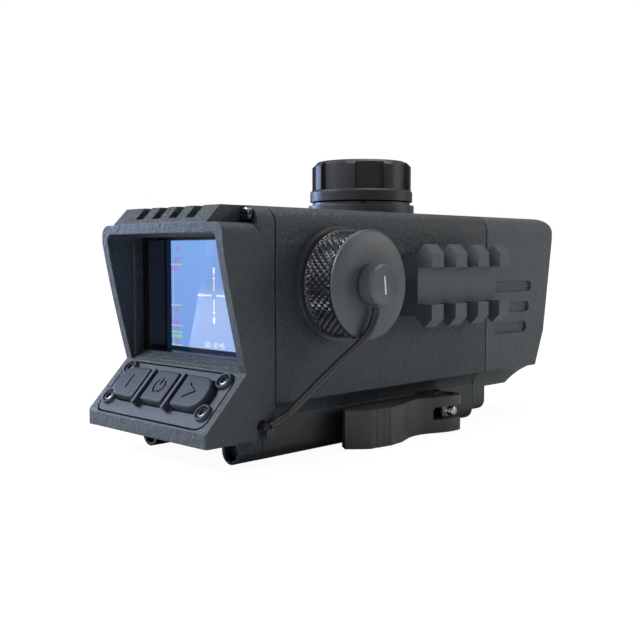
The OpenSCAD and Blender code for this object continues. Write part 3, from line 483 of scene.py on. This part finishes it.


# ---- tether ---------------------------------------------------------------------------------

# Listed points from under the swivel disc to the slot in the rear housing, in millimetres
TETHER_ROUTE = [(36.4, -21.6, 29.8), (36.4, -21.9, 28), (36.4, -23, 25.8), (36.2, -24.2, 24),
                (35, -26.2, 21.3), (32.4, -29.6, 17.4), (29.6, -33.3, 12.9), (27, -37.1, 8.4),
                (25.6, -39.5, 5.8), (24.9, -41.3, 4.6), (24.4, -43.9, 3.5)]


def catmull(points, steps):
    """Smooth path through points."""
    pts = [Vector(p) for p in points]
    n = len(pts) - 1
    path = []
    for k in range(n):
        a, b, c, d = pts[max(k - 1, 0)], pts[k], pts[k + 1], pts[min(k + 2, n)]
        for j in range(steps):
            t = j / steps
            path.append(0.5 * (2 * b + (c - a) * t + (2 * a - 5 * b + 4 * c - d) * t * t
                               + (3 * b - a - 3 * c + d) * t ** 3))
    return path + [pts[n]]


def tube(path, radius, sides):
    """Closed tube along a path; radius(share of its length) gives its thickness."""
    verts, faces = [], []
    count = len(path)
    side = Vector((0.4, 0.6, 0.7))
    for i, p in enumerate(path):
        along = (path[min(i + 1, count - 1)] - path[max(i - 1, 0)]).normalized()
        side = (side - along * side.dot(along)).normalized()
        other = along.cross(side)
        r = radius(i / (count - 1))
        for k in range(sides):
            a = 2 * math.pi * k / sides
            verts.append(p + (side * math.cos(a) + other * math.sin(a)) * r)
    for i in range(count - 1):
        for k in range(sides):
            n = (k + 1) % sides
            faces.append((i * sides + k, i * sides + n, (i + 1) * sides + n, (i + 1) * sides + k))
    faces.append(tuple(range(sides)))
    faces.append(tuple((count - 1) * sides + k for k in range(sides)))
    return verts, faces


def tether(material):
    steps = 8
    path = [p * MM for p in catmull(TETHER_ROUTE, steps)]
    past_rim = path[4 * steps + 2]    # below the cap's rim
    length = sum((b - a).length for a, b in zip(path, path[1:]))

    def radius(t):
        """The cord narrows by a quarter where its end goes into the slot."""
        return (1.0 if t < 0.93 else 1.0 - 0.25 * min(1, (t - 0.93) / 0.05)) * MM

    verts, faces = tube(path, radius, 20)
    obj = finish_mesh("tether_cord", verts, faces, material, None)
    sharpen(obj, 50)
    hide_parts("tether")
    tuple(path[-1])
    tuple(past_rim)
    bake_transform(obj)
    tuple(path[0])
    [tuple(p) for p in path]


# ---- screws ---------------------------------------------------------------------------------

def screw(parts, origin, axis, r, height, shank_r, shank_len, socket=0.55):
    """Adds a button-head screw with a six-lobed socket; origin is under its head, axis points out.

    A negative radius in rings marks a ring of the socket, which takes the lobes.
    """
    place = frame_of(origin, axis)
    count = 60

    def lobed(h, a, rr):
        return rr if rr > 0 else -rr * (1 + 0.13 * math.cos(6 * a))

    s = socket * r
    tip = -shank_len - 0.3 * shank_r
    rings = [(height - 0.45 * r, -0.02 * s), (height - 0.45 * r, -0.8 * s), (height - 0.38 * r, -0.93 * s),
             (height - 0.1 * r, -s), (height, -1.1 * s), (height, 0.78 * r), (height - 0.1 * r, 0.93 * r),
             (height - 0.28 * r, r), (0.05 * r, r), (0, 0.95 * r), (0, shank_r), (-shank_len, shank_r),
             (tip, 0.6 * shank_r), (tip, 0.01 * shank_r)]
    verts, faces = lathe(rings, count, place, lobed)
    base = len(parts[0])
    parts[0].extend(verts)
    parts[1].extend(tuple(base + i for i in f) for f in faces)


def screw_set(name, node, material, body, places):
    """One object for a group of like screws: places holds the arguments of each."""
    parts = ([], [])
    for place in places:
        screw(parts, *place)
    obj = finish_mesh(name, parts[0], parts[1], material, body, weld=False)
    sharpen(obj, 35)
    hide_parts(node)


NOTCH = Vector((0, -49.7, 15.7))                      # upper edge of the key panel, in millimetres
LIP = Vector((0, -61.2, 3.7))                         # lower edge of the key panel
PANEL_UP = (NOTCH - LIP).normalized()
PANEL_OUT = Vector((0, -PANEL_UP.z, PANEL_UP.y))


def on_panel(x, down, out):
    """Point on the key panel, in metres: across, down the slope from the notch, and out of it."""
    return (NOTCH + Vector((x, 0, 0)) - PANEL_UP * down + PANEL_OUT * out) * MM


HEAD = 1.5 * MM          # height of a housing screw's head
TIP = 0.3 * MM           # length of a screw's tapered tip


def rear_screws(name, node, r, material):
    """Pair of screws that come into a housing from behind; r is the head's radius."""
    low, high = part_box(node)
    z, x = (low.z + high.z) / 2, high.x - r
    seat = low.y + HEAD
    screw_set(name, node, material, "scope",
              [((s * x, seat, z), (0, -1, 0), r, HEAD, 1 * MM, high.y - seat - TIP) for s in (-1, 1)])


def front_screws(material):
    low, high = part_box("front_screws")
    r = 1.7 * MM
    seat = high.y - HEAD
    lower_x = 17.8 * MM
    corners = [(high.x - r, high.z - r), (lower_x, low.z + r)]
    screw_set("front_housing_screws", "front_screws", material, "scope",
              [((s * x, seat, z), (0, 1, 0), r, HEAD, 1 * MM, seat - low.y - TIP)
               for x, z in corners for s in (-1, 1)])


def keypad_screws(material, ring_material):
    """Four screws in the keypad plate, each in a raised ring."""
    spots = [(s * 18.2, down) for s in (-1, 1) for down in (2.9, 11.8)]
    screw_set("keypad_plate_screws", "keypad_screws", material, "scope",
              [(on_panel(x, d, -0.2), PANEL_OUT, 1.5 * MM, 1.0 * MM, 0.8 * MM, 3.7 * MM, 0.5)
               for x, d in spots])
    rings = [(-0.3, 1.58), (0.75, 1.58), (0.95, 1.7), (1.0, 1.85), (0.9, 2.05), (0.5, 2.2), (-0.3, 2.25)]
    verts, faces = [], []
    for x, d in spots:
        v, f = lathe([(h * MM, r * MM) for h, r in rings], 48, frame_of(on_panel(x, d, 0), PANEL_OUT))
        faces += [tuple(len(verts) + i for i in face) for face in f]
        verts += v
    sharpen(finish_mesh("keypad_screw_rings", verts, faces, ring_material, "scope", weld=False), 40)


def all_screws(mats):
    rear_screws("housing_screws_upper", "rear_upper_screws", 1.7 * MM, mats["dark_steel"])
    low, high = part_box("rear_lower_screws")
    rear_screws("housing_screws_lower", "rear_lower_screws", (high.z - low.z) / 2, mats["steel"])
    front_screws(mats["steel"])
    keypad_screws(mats["dark_steel"], mats["keypad"])
    head_r, shank_r = 2.4 * MM, 1.25 * MM
    low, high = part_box("turret_screw")
    c = middle("turret_screw")
    head = 1.1 * MM
    screw_set("turret_knob_screw", "turret_screw", mats["steel"], "knob",
              [((c.x, c.y, high.z - head), (0, 0, 1), head_r, head, shank_r,
                high.z - low.z - 1.6 * MM, 0.5)])
    low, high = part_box("base_screws")
    seat = 2.4 * MM
    screw_set("clamp_block_screws", "base_screws", mats["steel"], "scope",
              [((0, y * MM, seat), (0, 0, -1), head_r, 2 * MM, shank_r, high.z - 2.8 * MM, 0.5)
               for y in (-30, -8, 12, 34)])


def threaded_bolt(material):
    """Cross bolt with a thread on its far end."""
    low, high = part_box("cross_bolt")
    c = middle("cross_bolt")
    r = (high.z - low.z) / 2
    pitch = 0.5 * MM
    thread_len = 9 * MM
    start = high.x - thread_len

    def thread(h, a, rr):
        x = h + c.x
        if x < start or rr < 0.8 * r:
            return rr
        phase = ((x - start) / pitch - a / (2 * math.pi)) % 1
        return rr - 0.26 * MM * abs(2 * phase - 1)

    count = int(thread_len / pitch) * 6
    rings = [(low.x, 0.02 * MM), (low.x, 0.85 * r), (low.x + 0.2 * MM, r), (start, r)]
    rings += [(start + (high.x - start - 0.3 * MM) * k / count, r) for k in range(1, count + 1)]
    rings += [(high.x, 0.75 * r), (high.x, 0.02 * MM)]
    place = Matrix.Translation(c) @ Matrix.Rotation(math.pi / 2, 4, "Y")
    verts, faces = lathe([(x - c.x, rr) for x, rr in rings], 40, place, thread)
    obj = finish_mesh("cross_bolt_threaded", verts, faces, material, "scope")
    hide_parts("cross_bolt")


# ---- keys -----------------------------------------------------------------------------------

def arc(cx, cy, r, a0, a1, steps):
    return [(cx + r * math.cos(math.radians(a0 + (a1 - a0) * k / steps)),
             cy + r * math.sin(math.radians(a0 + (a1 - a0) * k / steps))) for k in range(steps + 1)]


def outer_key_outline(inner, outer, half, r):
    """D-shaped outline, square towards the middle key and round outside."""
    small = 0.8
    return (arc(outer - r, half - r, r, 0, 90, 12)
            + arc(inner + small, half - small, small, 90, 180, 4)
            + arc(inner + small, small - half, small, 180, 270, 4)
            + arc(outer - r, r - half, r, 270, 360, 12))


def square_key_outline(half_w, half, r):
    return (arc(half_w - r, half - r, r, 0, 90, 6) + arc(r - half_w, half - r, r, 90, 180, 6)
            + arc(r - half_w, r - half, r, 180, 270, 6) + arc(half_w - r, r - half, r, 270, 360, 6))


def prism(outline, levels, place):
    """Closed prism of an outline; levels are (height, inset)."""
    cx = sum(p[0] for p in outline) / len(outline)
    cy = sum(p[1] for p in outline) / len(outline)
    verts, faces, n = [], [], len(outline)
    for height, inset in levels:
        for x, y in outline:
            d = math.hypot(x - cx, y - cy)
            k = (d - inset) / d
            verts.append(place(cx + (x - cx) * k, cy + (y - cy) * k, height))
    for i in range(len(levels) - 1):
        for k in range(n):
            m = (k + 1) % n
            faces.append((i * n + k, i * n + m, (i + 1) * n + m, (i + 1) * n + k))
    faces.append(tuple(range(n)))
    faces.append(tuple((len(levels) - 1) * n + k for k in range(n)))
    return verts, faces


def bar(a, b, w):
    """Outline of a straight stroke from a to b."""
    dx, dy = b[0] - a[0], b[1] - a[1]
    d = math.hypot(dx, dy)
    nx, ny = -dy / d * w / 2, dx / d * w / 2
    return [(a[0] + nx, a[1] + ny), (a[0] - nx, a[1] - ny), (b[0] - nx, b[1] - ny), (b[0] + nx, b[1] + ny)]


def ring_stroke(r, w, a0, a1):
    """Outline of part of a ring, for the power sign."""
    return arc(0, 0, r + w / 2, a0, a1, 24) + arc(0, 0, r - w / 2, a1, a0, 24)


def key(name, node, body, outline, strokes, centre_x, material):
    """Key with a crowned top, soft edges and its sign sunk into the top."""
    down = 7.6            # distance of the keys' middle from the notch
    rise = 2.0            # height of the keys above the plate

    def place(x, y, z):
        return on_panel(x, down - y, z)

    levels = [(-2.5, 0), (-1.75, 0), (-1.75, 0.02), (1.2, 0.02), (rise - 0.35, 0.1), (rise - 0.12, 0.24),
              (rise - 0.03, 0.42), (rise, 0.75)]
    obj = finish_mesh(name, *prism(outline, levels, place), material, None)
    cutters = ([], [])
    for stroke in strokes:
        shape = [(centre_x + x, y) for x, y in stroke]
        verts, faces = prism(shape, [(rise - 0.4, 0), (rise + 0.5, 0)], place)
        base = len(cutters[0])
        cutters[0].extend(verts)
        cutters[1].extend(tuple(base + i for i in f) for f in faces)
    cutter = finish_mesh(name + "_cut", cutters[0], cutters[1], material, None, weld=False)
    cut = obj.modifiers.new("cut", "BOOLEAN")
    cut.object = cutter
    cut.solver = "EXACT"
    cut.use_self = True
    bpy.context.view_layer.update()
    graph = bpy.context.evaluated_depsgraph_get()
    mesh = bpy.data.meshes.new_from_object(obj.evaluated_get(graph))
    obj.modifiers.clear()
    obj.data = mesh
    bpy.data.objects.remove(cutter)
    sharpen(obj, 30)
    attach(obj, body)
    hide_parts(node)


def all_keys(mats):
    half = 4.4
    right = outer_key_outline(7.2, 17.6, half, 4.1)
    left = [(-x, y) for x, y in reversed(right)]
    w = 0.5               # width of a sign's stroke
    sign_x = 12.1
    key("key_right_cap", "key_right", "right_key", right,
        [bar((-1.9, 1.9), (1.6, 0.1), w), bar((1.6, 0.2), (-1.9, -1.9), w)], sign_x, mats["key"])
    key("key_left_cap", "key_left", "left_key", left, [bar((0, -1.9), (0, 1.9), w)], -sign_x, mats["key"])
    key("key_power_cap", "key_power", "power_key", square_key_outline(4.2, half, 0.9),
        [ring_stroke(1.8, w, 125, 415), bar((0, 0.2), (0, 2.3), w)], 0, mats["key"])


# ---- screen picture -------------------------------------------------------------------------

CROSS_Z = 32             # height of the aiming cross, in millimetres
BOX_FACES = ((0, 3, 2, 1), (4, 5, 6, 7), (0, 1, 5, 4), (1, 2, 6, 5), (2, 3, 7, 6), (3, 0, 4, 7))


def flat_marks(name, boxes, material):
    """Thin raised marks on the picture: a box is (x, z, width, height) in mm, with z from the cross."""
    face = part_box("display_panel")[0].y - 0.005 * MM
    verts, faces = [], []
    for x, z, w, h in boxes:
        base = len(verts)
        for dy in (0, -0.03 * MM):
            for sx, sz in ((-1, -1), (1, -1), (1, 1), (-1, 1)):
                verts.append(((x + sx * w / 2) * MM, face + dy, (CROSS_Z + z + sz * h / 2) * MM))
        faces += [tuple(base + i for i in f) for f in BOX_FACES]
    finish_mesh(name, verts, faces, material, "scope", smooth=False, weld=False)


# Lit segments of each digit: a top, b and c right, d foot, e and f left, g middle
SEGMENTS = {"0": "abcdef", "1": "bc", "2": "abged", "3": "abgcd", "4": "fgbc", "5": "afgcd",
            "6": "afgedc", "7": "abc"}


def digits(text, x, z, w, h, t):
    """Boxes of plain seven-segment digits, starting at x."""
    places = {"a": (0, h / 2, w, t), "g": (0, 0, w, t), "d": (0, -h / 2, w, t),
              "b": (w / 2, h / 4, t, h / 2), "c": (w / 2, -h / 4, t, h / 2),
              "f": (-w / 2, h / 4, t, h / 2), "e": (-w / 2, -h / 4, t, h / 2)}
    boxes = []
    for k, char in enumerate(text):
        for segment in SEGMENTS[char]:
            dx, dz, bw, bh = places[segment]
            boxes.append((x + k * w * 1.75 + dx, z + dz, bw, bh))
    return boxes


def screen_picture(mats):
    cx = 0.6
    cross = []
    for s in (-1, 1):
        cross += [(cx, s * 3.2, 0.2, 4.4), (cx, s * 6.1, 0.75, 1.5), (cx, s * 4.2, 0.95, 0.3)]
        cross += [(cx + s * 3.2, 0, 4.4, 0.2), (cx + s * 5.6, 0, 1.5, 0.62), (cx + s * 4.2, 0, 0.3, 0.95)]
        cross += [(cx, s * (1.3 + 0.62 * k), 0.5, 0.26) for k in range(5)]
        cross += [(cx + s * (1.3 + 0.62 * k), 0, 0.26, 0.5) for k in range(5)]
    flat_marks("picture_cross", cross, mats["white_light"])
    left = -16.9
    rows = [7.5, -2.8, -8.0, -9.6, -12.95]
    scale = [(left + 2.6, z, 4.6, 0.3) for z in rows]
    flat_marks("picture_scale", scale, mats["yellow_light"])
    flat_marks("picture_line", [(left + 1.3, -2.7, 0.28, 20.4)], mats["pale_light"])
    flat_marks("picture_band", [(left + 2.6, -10.7, 4.4, 0.9)], mats["green_light"])
    numbers = []
    for text, x, z in (("10", 2.0, 11.6), ("20", 2.3, 8.5), ("30", 0.9, 6.6), ("40", 1.3, -3.9),
                       ("50", 1.3, -7.1), ("60", 1.3, -8.8), ("70", 1.3, -11.8)):
        numbers += digits(text, left + x, z, 0.8, 0.95, 0.24)
    flat_marks("picture_numbers", numbers, mats["rose_light"])
    clock_z = -12.1
    clock = []
    for text, x in (("00", -2.6), ("12", 0.2), ("45", 3.0)):
        clock += digits(text, x, clock_z, 0.6, 1.1, 0.15)
    clock += [(x, clock_z + z, 0.2, 0.2) for x in (-0.6, 2.2) for z in (-0.25, 0.25)]
    flat_marks("picture_clock", clock, mats["white_light"])


# ---- studio ---------------------------------------------------------------------------------

def area_light(name, place, target, size, energy, colour):
    data = bpy.data.lights.new(name, "AREA")
    data.size = size
    data.energy = energy
    data.color = colour
    light = bpy.data.objects.new(name, data)
    light.location = place
    light.rotation_euler = (Vector(target) - Vector(place)).to_track_quat("-Z", "Y").to_euler()
    bpy.context.scene.collection.objects.link(light)


def studio():
    aim = (0, 0, 0.03)
    area_light("rear_key", (-0.5, -0.62, 0.62), aim, 0.38, 14.0, (0.84, 0.9, 1.0))
    area_light("top_soft", (0.08, 0.2, 0.95), aim, 0.7, 6.5, (1.0, 0.99, 0.97))
    area_light("front_side", (0.8, 1.0, 0.42), aim, 0.5, 2.8, (1.0, 0.99, 0.97))
    area_light("blue_edge", (-0.7, -0.12, 0.1), aim, 0.22, 2.2, (0.4, 0.55, 1.0))
    area_light("rear_rim", (0.12, -0.9, 0.5), aim, 0.16, 1.6, (0.95, 0.97, 1.0))
    world = bpy.data.worlds.new("studio")
    bpy.context.scene.world = world
    world.use_nodes = True
    tree = world.node_tree
    background = tree.nodes["Background"]
    path = tree.nodes.new("ShaderNodeLightPath")
    mix = tree.nodes.new("ShaderNodeMix")
    mix.data_type = "RGBA"
    mirrored = tree.nodes.new("ShaderNodeMath")
    mirrored.operation = "MULTIPLY"
    mirrored.inputs[1].default_value = 0.25
    tree.links.new(path.outputs["Is Glossy Ray"], mirrored.inputs[0])
    share = mirrored.outputs[0]
    for name in ("Is Camera Ray", "Is Transmission Ray"):
        seen = tree.nodes.new("ShaderNodeMath")
        seen.operation = "MAXIMUM"
        tree.links.new(path.outputs[name], seen.inputs[0])
        tree.links.new(share, seen.inputs[1])
        share = seen.outputs[0]
    tree.links.new(share, mix.inputs[0])
    mix.inputs[6].default_value = (0.1, 0.104, 0.108, 1)
    mix.inputs[7].default_value = (1, 1, 1, 1)
    tree.links.new(mix.outputs[2], background.inputs["Color"])


def pale_floor():
    """Pale floor that the camera sees almost white, with the object's shadow."""
    level = cad_box[0][2]
    mesh = bpy.data.meshes.new("floor")
    size = 30.0
    corners = [(-size, -size), (size, -size), (size, size), (-size, size)]
    mesh.from_pydata([(x, y, level) for x, y in corners], [], [(0, 1, 2, 3)])
    floor = bpy.data.objects.new("floor", mesh)
    bpy.context.scene.collection.objects.link(floor)
    g = Graph("floor")
    tree = g.tree
    g.set(Base_Color=(0.8, 0.8, 0.8, 1), Roughness=0.9, Specular_IOR_Level=0.1)
    glow = tree.nodes.new("ShaderNodeEmission")
    glow.inputs["Color"].default_value = (1, 1, 1, 1)
    reach = tree.nodes.new("ShaderNodeVectorMath")
    reach.operation = "LENGTH"
    g.link(g.place, reach.inputs[0])
    g.link(g.remap(reach.outputs["Value"], 1.06, 1.115, 0.3, 0.9), glow.inputs["Strength"])
    path = tree.nodes.new("ShaderNodeLightPath")
    share = g.math("MULTIPLY", path.outputs["Is Camera Ray"], 0.9)
    mix = tree.nodes.new("ShaderNodeMixShader")
    tree.links.new(share, mix.inputs[0])
    tree.links.new(g.shader.outputs[0], mix.inputs[1])
    tree.links.new(glow.outputs[0], mix.inputs[2])
    tree.links.new(mix.outputs[0], tree.nodes["Material Output"].inputs["Surface"])
    paint(floor, g.material)


def main():
    add_camera()
    mats = make_materials()
    tether(mats["cord"])
    for material, names in NODE_MATERIALS.items():
        for name in names:
            paint(nodes[name], mats[material])
    battery_cap(mats["cap"], mats["knurl"])
    swivel(mats["cap"], mats["mark"])
    all_screws(mats)
    threaded_bolt(mats["bright_steel"])
    all_keys(mats)
    screen_picture(mats)
    studio()
    pale_floor()
    bpy.context.scene.view_settings.view_transform = "Standard"


main()
